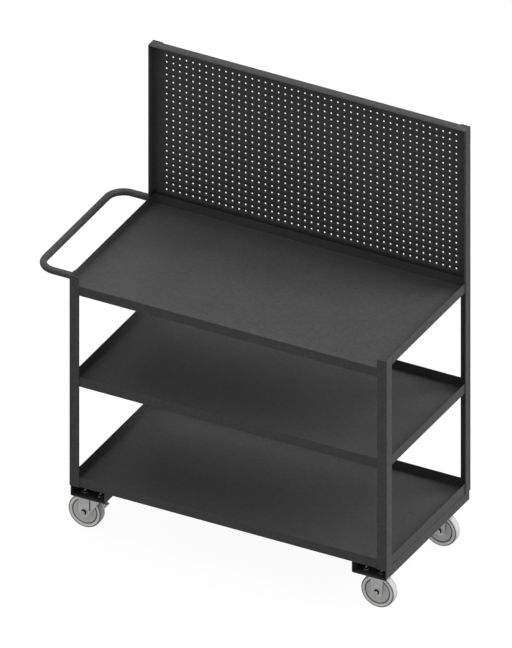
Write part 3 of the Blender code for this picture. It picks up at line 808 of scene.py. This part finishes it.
SWIVEL_CORNERS = ["front_left", "back_left"]
RIGID_CORNERS = ["front_right", "back_right"]
CORNERS = SWIVEL_CORNERS + RIGID_CORNERS
bolt_nodes = [f"mount_bolt_{corner}_{number}" for corner in CORNERS for number in (1, 2, 3, 4)]
bolt_low, bolt_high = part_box(bolt_nodes[0])
web_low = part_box("caster_channel_left")[0].z
spots = [(*middle_of(node).xy, web_low) for node in bolt_nodes]
head_low = bolt_low.z - web_low
head_top = head_low + BOLT_HEAD
end_top = bolt_high.z - web_low
washer_low = CHANNEL_SHEET + 0.0001
nut_low = washer_low + WASHER
nut_top = end_top - 0.003
bolt = bmesh.new()
rings = hex_rings(BOLT_FLATS, head_low, head_top)
rings += round_rings((BOLT_RADIUS, head_top), (BOLT_RADIUS, nut_low))
rings += thread_rings(BOLT_RADIUS, nut_low + 0.0005, end_top)
loft(bolt, rings, capped=True)
washer = bmesh.new()
hole = BOLT_RADIUS + 0.0002
rings = round_rings(
    (hole, washer_low),
    (WASHER_RADIUS - WASHER_EDGE, washer_low),
    (WASHER_RADIUS, washer_low + WASHER_EDGE),
    (WASHER_RADIUS, nut_low - WASHER_EDGE),
    (WASHER_RADIUS - WASHER_EDGE, nut_low),
    (hole, nut_low),
)
loft(washer, rings, closed=True)
nut = bmesh.new()
rings = hex_rings(BOLT_FLATS, nut_low, nut_top) + round_rings((hole, nut_top), (hole, nut_low))
loft(nut, rings, closed=True)
patterns = [(bolt, zinc_plate), (washer, zinc_plate), (nut, black_oxide)]
bolt_mesh = repeat_at("caster_bolts", spots, patterns)
dress("caster_bolts", bolt_mesh, None, "frame", bolt_nodes, 0.0, SMALL_SHARP, "zinc_plate")


# Caster plates: each swivel caster hangs from a zinc-plated steel plate, 79 by 105 mm and 3.5 mm
# thick, held by its four bolts. A king pin through its middle is headed over on top, and takes the
# fork's crown on a double ball race, with a hex nut under the crown.
PLATE_SHEET = 0.0035
PLATE_CORNER = 0.007
PRESSED_EDGE = 0.0006
RACE_GROOVE = 0.0009
RACE_BORE = 0.0072
KING_PIN_RADIUS = 0.00635
KING_NUT_FLATS = 0.019
KING_NUT = 0.008
KING_HEAD_RADIUS = 0.0105
KING_HEAD = 0.0017


def plate(shape, low, high):
    """A flat plate with round corners that fills the box from low to high."""
    plan = rounded_plan(low.x, high.x, low.y, high.y, PLATE_CORNER, 6)
    loft(shape, [[(x, y, height) for x, y in plan] for height in (low.z, high.z)], capped=True)


def turned(shape, profile, centre, axis, sides, closed=True):
    """Turns a profile of (radius, height along the axis) about a centre."""
    rings = []
    for radius, height in profile:
        ring = []
        for index in range(sides):
            angle = 2 * math.pi * (index + 0.5) / sides
            across, up = radius * math.cos(angle), radius * math.sin(angle)
            spot = (across, up, height) if axis == "Z" else (across, height, up)
            ring.append(Vector(spot) + Vector(centre))
        rings.append(ring)
    loft(shape, rings, closed=closed, capped=not closed)


for corner in SWIVEL_CORNERS:
    low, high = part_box("swivel_plate_" + corner)
    shape = bmesh.new()
    plate(shape, low, high)
    add_piece("plate_" + corner, shape, zinc_plate, "frame", ["swivel_plate_" + corner], PRESSED_EDGE)
    centre = ((low.x + high.x) / 2, (low.y + high.y) / 2, 0)
    pin_low, pin_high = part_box("king_pin_" + corner)
    nut_top = pin_low.z + KING_NUT
    head_low = pin_high.z - KING_HEAD
    rings = round_rings((0.0050, pin_low.z), (KING_PIN_RADIUS, pin_low.z + 0.0004))
    rings += hex_rings(KING_NUT_FLATS, pin_low.z + 0.0005, nut_top)
    rings += round_rings(
        (KING_PIN_RADIUS, nut_top),
        (KING_PIN_RADIUS, head_low),
        (KING_HEAD_RADIUS, head_low),
        (KING_HEAD_RADIUS, pin_high.z - 0.0008),
        (0.0088, pin_high.z),
    )
    shape = bmesh.new()
    loft(shape, [[point + Vector(centre) for point in ring] for ring in rings], capped=True)
    add_piece("pin_" + corner, shape, zinc_plate, "frame", ["king_pin_" + corner])
    low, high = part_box("swivel_race_" + corner)
    radius = (high.x - low.x) / 2
    tall = high.z - low.z
    profile = [
        (RACE_BORE, low.z),
        (radius - 0.006, low.z),
        (radius - 0.0045, low.z + 0.0004),
        (radius - 0.0012, low.z + 0.2 * tall),
        (radius, low.z + 0.32 * tall),
        (radius, low.z + 0.44 * tall),
        (radius - RACE_GROOVE, low.z + 0.48 * tall),
        (radius - RACE_GROOVE, low.z + 0.54 * tall),
        (radius, low.z + 0.58 * tall),
        (radius, low.z + 0.72 * tall),
        (radius - 0.0012, low.z + 0.86 * tall),
        (radius - 0.0035, high.z),
        (RACE_BORE, high.z),
    ]
    shape = bmesh.new()
    turned(shape, profile, centre, "Z", 72)
    nodes = ["swivel_race_" + corner]
    add_piece("race_" + corner, shape, zinc_plate, "swivel_" + corner, nodes, smooth_angle=50)


# Caster forks: pressed from 3 mm steel and zinc plated. The swivel forks trail their wheels 44 mm
# behind the king pin, and carry the brake's cross pin in a lug; a pressed rib stiffens each leg. The
# rigid forks are narrower and are welded to their own plates.
FORK_SHEET = 0.003
FORK_FOLD = 0.003
AXLE_END_RADIUS = 0.020
CHIN_DROP = 0.0115  # axle down to where a swivel leg's front edge meets its round end
PIVOT_AHEAD = 0.04931  # axle to the brake's cross pin
PIVOT_RISE = 0.05477
RIB_AHEAD = 0.022
RIB_RISE = 0.0115
RIB_WIDTH = 0.0066
RIB_DEPTH = 0.0017
RIB_SLOPE = 0.0016
RIGID_HALF_WIDTH = 0.021
RIGID_HALF_TOP = 0.0255
RIGID_SHOULDER = 0.0135
GRID = 0.0013  # spacing of the points on a leg


def fork_legs(shape, low, high, centre, crown_top, edges, rib=None):
    """A crown with a leg down each side. edges(z) gives the fork's back and front there."""
    outer = (high.y - low.y) / 2 if rib else RIGID_HALF_WIDTH
    half = outer - FORK_SHEET / 2
    crown = crown_top - FORK_SHEET / 2
    bottom = low.z
    path = ((-half, bottom), (-half, crown), (half, crown), (half, bottom))
    section = [(first + second) / 2 for first, second in fold(path, FORK_SHEET, FORK_FOLD)]
    fine = []
    for start, end in zip(section, section[1:]):
        length = (end - start).length
        count = max(1, round(length / GRID))
        fine += [start.lerp(end, step / count) for step in range(count)]
    fine.append(section[-1])
    columns = round((high.x - low.x) / GRID)
    # The rib's depth is kept on each point as a mask, and the zinc finish paints shade into the rib
    # with it.
    recess = shape.verts.layers.float.new("recess")
    rows = []
    for across, height in fine:
        back, front = edges(max(height, bottom + 0.00002))
        row = []
        for column in range(columns + 1):
            x = back + (front - back) * column / columns
            y = across
            depth = 0.0
            if rib and abs(abs(across) - half) < NEAR:
                rib_x, rib_foot = rib
                over = abs(x - rib_x)
                down = max(rib_foot - height, 0.0)
                away = math.hypot(over, down) - RIB_WIDTH / 2
                depth = min(max(0.5 - away / RIB_SLOPE, 0.0), 1.0)
                y -= math.copysign(RIB_DEPTH, across) * depth * depth * (3 - 2 * depth)
            spot = shape.verts.new((x, centre.y + y, height))
            spot[recess] = depth
            row.append(spot)
        rows.append(row)
    for lower, upper in zip(rows, rows[1:]):
        strip(shape, lower, upper)


def walk(points, height):
    """The x of a line through (z, x) points, at a height."""
    for (z0, x0), (z1, x1) in zip(points, points[1:]):
        if z0 >= height >= z1:
            return x0 + (x1 - x0) * (z0 - height) / max(z0 - z1, 1e-9)
    return points[-1][1] if height < points[-1][0] else points[0][1]


for corner in SWIVEL_CORNERS:
    low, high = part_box("swivel_fork_" + corner)
    axle = middle_of("wheel_core_" + corner)
    pivot_x, pivot_z = axle.x + PIVOT_AHEAD, axle.z + PIVOT_RISE
    front_line = [
        (high.z, high.x),
        (high.z - 0.007, high.x),
        (pivot_z + 0.0023, pivot_x + 0.0087),
        (pivot_z, pivot_x + 0.009),
        (pivot_z - 0.0052, pivot_x + 0.0074),
        (axle.z - CHIN_DROP, axle.x + 0.0164),
    ]

    def swivel_edges(z):
        drop = min(axle.z - z, AXLE_END_RADIUS)
        chord = math.sqrt(max(AXLE_END_RADIUS**2 - drop**2, 0.0))
        back = axle.x - (chord if drop > 0 else AXLE_END_RADIUS)
        front = axle.x + chord if drop > CHIN_DROP else walk(front_line, z)
        return back, front

    shape = bmesh.new()
    rib = (axle.x + RIB_AHEAD, axle.z + RIB_RISE)
    fork_legs(shape, low, high, axle, high.z, swivel_edges, rib)
    nodes = ["swivel_fork_" + corner]
    piece = add_piece("fork_" + corner, shape, zinc_plate, "swivel_" + corner, nodes, PRESSED_EDGE)
    add_wall(piece, FORK_SHEET)

for corner in RIGID_CORNERS:
    low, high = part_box("rigid_fork_" + corner)
    axle = middle_of("wheel_core_" + corner)
    plate_low = Vector((low.x, low.y, high.z - PLATE_SHEET))
    shoulder = high.z - RIGID_SHOULDER

    def rigid_edges(z):
        drop = axle.z - z
        if drop > 0:
            half = math.sqrt(max(AXLE_END_RADIUS**2 - min(drop, AXLE_END_RADIUS) ** 2, 0.0))
        else:
            share = min(-drop / (shoulder - axle.z), 1.0)
            half = AXLE_END_RADIUS + (RIGID_HALF_TOP - AXLE_END_RADIUS) * share
        return axle.x - half, axle.x + half

    shape = bmesh.new()
    leg_low = Vector((axle.x - RIGID_HALF_TOP, low.y, low.z))
    leg_high = Vector((axle.x + RIGID_HALF_TOP, high.y, high.z))
    fork_legs(shape, leg_low, leg_high, axle, plate_low.z + 0.0002, rigid_edges)
    nodes = ["rigid_fork_" + corner]
    piece = add_piece("fork_" + corner, shape, zinc_plate, "frame", nodes, PRESSED_EDGE)
    add_wall(piece, FORK_SHEET)
    shape = bmesh.new()
    plate(shape, plate_low, high)
    add_piece("plate_" + corner, shape, zinc_plate, "frame", [], PRESSED_EDGE)


# Wheels: each has a core moulded in grey polyolefin, with a stepped hub and a dished web, and a tyre
# of grey polyurethane moulded onto its rim. Shade is painted into the groove round the core, on a
# ring of the tyre's side by its shoulder, and more faintly over the tread.
CORE_SIDES = 96
TYRE_SIDES = 128

CORE_PALE = (0.56, 0.56, 0.55)
CORE_DARK = (0.48, 0.48, 0.475)
TYRE_PALE = (0.74, 0.74, 0.73)
TYRE_DARK = (0.64, 0.64, 0.63)
# Painted shade on the wheels, as (radius, share) stops: the core's groove, a ring on the tyre's side
# by the shoulder, and the tread more faintly.
CORE_SHADE_STOPS = ((0.0, 0.0), (0.0440, 0.0), (0.0446, 1.0), (0.0480, 1.0), (0.0487, 0.0), (0.07, 0.0))
TYRE_SHADE_STOPS = ((0.0, 0.0), (0.0575, 0.0), (0.0581, 1.0), (0.0624, 1.0), (0.0631, 0.4), (0.07, 0.4))


def make_moulded(name, dark, pale, dirt, roughness, grain_scale):
    """A moulded plastic or rubber: cloudy colour, a fine skin, dust rubbed into it, and painted shade.
    """
    moulded = Finish(name, specular=0.4)
    clouds = moulded.noise(30.0, 4.0, 0.6)
    grain = moulded.noise(grain_scale, 2.0)
    marks = moulded.between(moulded.noise(140.0, 5.0, 0.7), 0.55, 0.78)
    colour = moulded.blend(moulded.between(clouds, 0.3, 0.7), dark, pale)
    colour = moulded.blend(0.35 * marks, colour, dirt)
    # Painted shade: near black where the vertex attribute is high, in the wheels' grooves, by the
    # tyre's shoulders and faintly over the tread.
    painted_shade_share = moulded.node("Attribute", {"attribute_name": "recess"}, output="Fac")
    colour = moulded.blend(0.8 * painted_shade_share, colour, (0.05, 0.05, 0.048))
    return moulded.finish(colour, roughness + 0.1 * clouds + 0.1 * marks, grain, 0.0001)


def paint_wheel_shade(shape, centre, stops):
    """Marks where shade is painted on a wheel: stops are (radius, share) outward from the axle."""
    recess = shape.verts.layers.float.new("recess")
    for vertex in shape.verts:
        radius = math.hypot(vertex.co.x - centre.x, vertex.co.z - centre.z)
        vertex[recess] = walk([(-r, share) for r, share in stops], -radius)


polyolefin = make_moulded("grey_polyolefin", CORE_DARK, CORE_PALE, (0.27, 0.27, 0.26), 0.42, 1400.0)
polyurethane = make_moulded("grey_polyurethane", TYRE_DARK, TYRE_PALE, (0.26, 0.26, 0.25), 0.5, 900.0)

for corner in CORNERS:
    low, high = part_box("tyre_" + corner)
    centre = middle_of("tyre_" + corner)
    radius = centre.z - low.z
    half = (high.y - low.y) / 2
    side_profile = [
        (0.0490, half - 0.0022),
        (0.0493, half - 0.0010),
        (0.0502, half - 0.0002),
        (0.0512, half),
        (0.0574, half),
        (0.0580, half - 0.0003),
        (0.0584, half - 0.0009),
        (0.0594, half - 0.0011),
        (0.0614, half - 0.0011),
        (0.0622, half - 0.0016),
        (0.0629, half - 0.0032),
        (radius - 0.00015, half - 0.0065),
        (radius - 0.00005, half - 0.0115),
        (radius, 0.0006),
    ]
    profile = [(r, -y) for r, y in side_profile] + side_profile[::-1]
    shape = bmesh.new()
    turned(shape, profile, centre, "Y", TYRE_SIDES)
    paint_wheel_shade(shape, centre, TYRE_SHADE_STOPS)
    add_piece("tread_" + corner, shape, polyurethane, "wheel_" + corner, ["tyre_" + corner])
    low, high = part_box("wheel_core_" + corner)
    hub_half = (high.y - low.y) / 2
    side_profile = [
        (0.0083, hub_half),
        (0.0142, hub_half),
        (0.0150, hub_half - 0.0007),
        (0.0152, hub_half - 0.0030),
        (0.0165, 0.0140),
        (0.0180, 0.0133),
        (0.0290, 0.0128),
        (0.0300, 0.0132),
        (0.0400, 0.0140),
        (0.0436, 0.0143),
        (0.0444, 0.0138),
        (0.0447, 0.0118),
        (0.0452, 0.0114),
        (0.0474, 0.0114),
        (0.0479, 0.0118),
        (0.0481, 0.0132),
        (0.0486, 0.0138),
        (0.0489, 0.0136),
    ]
    profile = [(r, -y) for r, y in side_profile] + side_profile[::-1]
    shape = bmesh.new()
    turned(shape, profile, centre, "Y", CORE_SIDES)
    paint_wheel_shade(shape, centre, CORE_SHADE_STOPS)
    add_piece("core_" + corner, shape, polyolefin, "wheel_" + corner, ["wheel_core_" + corner])


# Axles: a 3/8 in. zinc-plated bolt runs through both legs of the fork and a steel sleeve in the hub.
# Its hex head is at the back, and a black locknut with a broad flange is at the front, closed with a
# pale cap over the bolt's end.
CAP_RADIUS = 0.0080
FLANGE_RADIUS = 0.0104
SLEEVE_EDGE = 0.0004
for corner in CORNERS:
    body = "frame" if corner.endswith("right") else "swivel_" + corner
    low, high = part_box("axle_bolt_" + corner)
    nut_low, nut_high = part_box("axle_nut_" + corner)
    sleeve_low, sleeve_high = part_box("axle_sleeve_" + corner)
    centre = (sleeve_low + sleeve_high) / 2

    def along_axle(rings):
        """Lays rings that are built along Z along the axle, which is along Y."""
        return [[Vector((p.x + centre.x, p.z, p.y + centre.z)) for p in ring] for ring in rings]

    shape = bmesh.new()
    head_low = high.y - BOLT_HEAD
    rings = round_rings(
        (BOLT_RADIUS * 0.9, low.y + 0.0005),
        (BOLT_RADIUS, low.y + 0.0012),
        (BOLT_RADIUS, head_low),
    )
    loft(shape, along_axle(rings + hex_rings(BOLT_FLATS, head_low, high.y)), capped=True)
    rings = round_rings(
        (BOLT_RADIUS, head_low - 0.0001),
        (WASHER_RADIUS, head_low - 0.0001),
        (WASHER_RADIUS, head_low + 0.0010),
        (BOLT_RADIUS, head_low + 0.0010),
    )
    loft(shape, along_axle(rings), closed=True)
    nodes = ["axle_bolt_" + corner]
    add_piece("bolt_" + corner, shape, zinc_plate, body, nodes, smooth_angle=SMALL_SHARP)
    shape = bmesh.new()
    rings = round_rings(
        (BOLT_RADIUS, nut_high.y),
        (FLANGE_RADIUS, nut_high.y),
        (FLANGE_RADIUS, nut_high.y - 0.0012),
        (FLANGE_RADIUS - 0.0012, nut_high.y - 0.0022),
    )
    rings += [round_ring(0, y, BOLT_FLATS) for y in (nut_high.y - 0.0026, nut_low.y + 0.0006)]
    rings += round_rings((BOLT_FLATS / 2 * 0.97, nut_low.y), (BOLT_RADIUS, nut_low.y))
    loft(shape, along_axle(rings), closed=True)
    nodes = ["axle_nut_" + corner]
    add_piece("nut_" + corner, shape, black_oxide, body, nodes, 0.0, SMALL_SHARP, "zinc_plate")
    shape = bmesh.new()
    rings = round_rings(
        (CAP_RADIUS - 0.0006, nut_low.y + 0.0006),
        (CAP_RADIUS, nut_low.y + 0.0002),
        (CAP_RADIUS, low.y + 0.0010),
        (CAP_RADIUS - 0.0008, low.y + 0.0002),
        (CAP_RADIUS - 0.0030, low.y),
        (0.0008, low.y),
    )
    loft(shape, along_axle(rings), capped=True)
    add_piece("cap_" + corner, shape, polyolefin, body, [], smooth_angle=50)
    shape = bmesh.new()
    outer = (sleeve_high.x - sleeve_low.x) / 2
    bore = BOLT_RADIUS + 0.0003
    rings = round_rings(
        (bore, sleeve_low.y),
        (outer - SLEEVE_EDGE, sleeve_low.y),
        (outer, sleeve_low.y + SLEEVE_EDGE),
        (outer, sleeve_high.y - SLEEVE_EDGE),
        (outer - SLEEVE_EDGE, sleeve_high.y),
        (bore, sleeve_high.y),
    )
    loft(shape, along_axle(rings), closed=True)
    add_piece("sleeve_" + corner, shape, zinc_plate, body, ["axle_sleeve_" + corner])


# Wheel brakes: a pedal of 3 mm pressed steel, zinc plated, turns on a cross pin between the legs of
# each swivel fork. Stepping on its lip swings the pad under it down onto the tread.
PEDAL_SHEET = 0.003
PEDAL_DROP = 0.0135
ARM_SHARE = 0.72  # width of the pad's arm as a share of the pedal's
PEDAL_TAPER = 0.5  # share of its width that the pedal loses by its lip
PAD_REACH = 0.0763  # axle to the middle of the pad's folded edge
PAD_TURN = math.radians(20.5)
PIN_RADIUS = 0.003
BARREL_RADIUS = 0.006
BARREL_EDGE = 0.0004
SIDE_GAP = 0.0043  # end of the cross pin to the pedal's side
for corner in SWIVEL_CORNERS:
    low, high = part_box("brake_pedal_" + corner)
    axle = middle_of("wheel_core_" + corner)
    pivot = Vector((axle.x + PIVOT_AHEAD, axle.y, axle.z + PIVOT_RISE))
    half = (high.y - low.y) / 2 - SIDE_GAP
    tip = high.x - pivot.x
    pad_x = PAD_REACH * math.cos(PAD_TURN) - PIVOT_AHEAD
    pad_z = PAD_REACH * math.sin(PAD_TURN) - PIVOT_RISE
    shape = bmesh.new()
    path = (
        (0.0005, BARREL_RADIUS - PEDAL_SHEET / 2),
        (0.35 * tip, 0.0028),
        (0.80 * tip, -PEDAL_DROP * 0.95),
        (tip - 0.0004, -PEDAL_DROP + 0.0016),
    )
    pairs = fold(path, PEDAL_SHEET, 0.001)
    tapered = lambda p, q, d: (pivot.x + p, pivot.y + d * (1 - PEDAL_TAPER * p / tip), pivot.z + q)
    run_sheet(shape, pairs, -half, half, tapered)
    arm = ((0.012, -0.0003), (pad_x + 0.0017, pad_z + 0.002), (pad_x - 0.001, pad_z - 0.0016))
    straight = lambda p, q, d: (pivot.x + p, pivot.y + d, pivot.z + q)
    pairs = fold(arm, PEDAL_SHEET, 0.0005)
    run_sheet(shape, pairs, -half * ARM_SHARE, half * ARM_SHARE, straight)
    barrel = [
        (PIN_RADIUS, -half),
        (BARREL_RADIUS - BARREL_EDGE, -half),
        (BARREL_RADIUS, -half + BARREL_EDGE),
        (BARREL_RADIUS, half - BARREL_EDGE),
        (BARREL_RADIUS - BARREL_EDGE, half),
        (PIN_RADIUS, half),
    ]
    turned(shape, barrel, pivot, "Y", 32)
    reach = (high.y - low.y) / 2
    headed = [
        (0.0006, reach + 0.0012),
        (0.0034, reach + 0.0011),
        (0.0046, reach + 0.0004),
        (0.0048, reach - 0.0001),
        (PIN_RADIUS, reach - 0.0001),
    ]
    pin = [(radius, -y) for radius, y in headed] + headed[::-1]
    turned(shape, pin, pivot, "Y", 24, closed=False)
    nodes = ["brake_pedal_" + corner]
    add_piece("pedal_" + corner, shape, zinc_plate, "brake_" + corner, nodes, CUT_EDGE)


# Studio: a plain pale floor that runs out of sight, an even sky, a soft light overhead, a stronger
# one over the right end, faint ones low on the right and the left, and a camera that looks down on
# the front and the right end.
VIEW_TURN = 27.82
VIEW_TILT = 31.22
VIEW_SPAN = 2.2118
VIEW_RIGHT = -0.0478  # centre of the view from the middle of the deck, on the floor
VIEW_UP = 0.7236
VIEW_DISTANCE = 8.0

tray_low, tray_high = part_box("bottom_tray")
deck_centre = Vector(((tray_low.x + tray_high.x) / 2, 0, 0))
turn, tilt = math.radians(VIEW_TURN), math.radians(VIEW_TILT)
back = Vector((math.sin(turn) * math.cos(tilt), -math.cos(turn) * math.cos(tilt), math.sin(tilt)))
right = Vector((math.cos(turn), math.sin(turn), 0))
up = back.cross(right)
camera_data = bpy.data.cameras.new("camera")
camera_data.type = "ORTHO"
camera_data.ortho_scale = VIEW_SPAN
camera_data.clip_end = 60
camera = new_object("camera", camera_data)
camera.location = deck_centre + right * VIEW_RIGHT + up * VIEW_UP + back * VIEW_DISTANCE
camera.rotation_euler = back.to_track_quat("Z", "Y").to_euler()
bpy.context.scene.camera = camera

floor_mesh = bpy.data.meshes.new("floor")
reach = 30.0
outline = [(-reach, -reach, 0), (reach, -reach, 0), (reach, reach, 0), (-reach, reach, 0)]
floor_mesh.from_pydata(outline, [], [(0, 1, 2, 3)])
floor = new_object("floor", floor_mesh)
pale = Finish("pale_floor", specular=0.0)
pale.feed(pale.shader.inputs["Emission Color"], (1.0, 1.0, 1.0))
pale.feed(pale.shader.inputs["Emission Strength"], 0.95)
floor_mesh.materials.append(pale.finish((0.05, 0.05, 0.05), 1.0))
floor.visible_diffuse = False
floor.visible_glossy = False
floor.visible_shadow = False

world = bpy.data.worlds.new("studio")
bpy.context.scene.world = world
world.use_nodes = True
sky = world.node_tree.nodes["Background"].inputs
sky["Color"].default_value = (1.0, 1.0, 1.0, 1.0)
sky["Strength"].default_value = 0.55


def soft_light(name, turn, tilt, strength, spread):
    """A far, wide light: turn is from the right end towards the back, and tilt is above level."""
    light = bpy.data.lights.new(name, "SUN")
    light.energy = strength
    light.angle = math.radians(spread)
    lamp = new_object(name, light)
    turn, tilt = math.radians(turn), math.radians(tilt)
    toward = Vector((math.cos(turn) * math.cos(tilt), math.sin(turn) * math.cos(tilt), math.sin(tilt)))
    lamp.rotation_euler = toward.to_track_quat("Z", "Y").to_euler()


soft_light("overhead", 0, 90, 1.5, 60)
soft_light("key", 20, 41, 2.85, 40)
soft_light("right", 0, -0.5, 0.04, 3)
soft_light("left", 178, 22, 0.55, 16)
bpy.context.scene.view_settings.view_transform = "Standard"
bpy.context.scene.view_settings.look = "None"
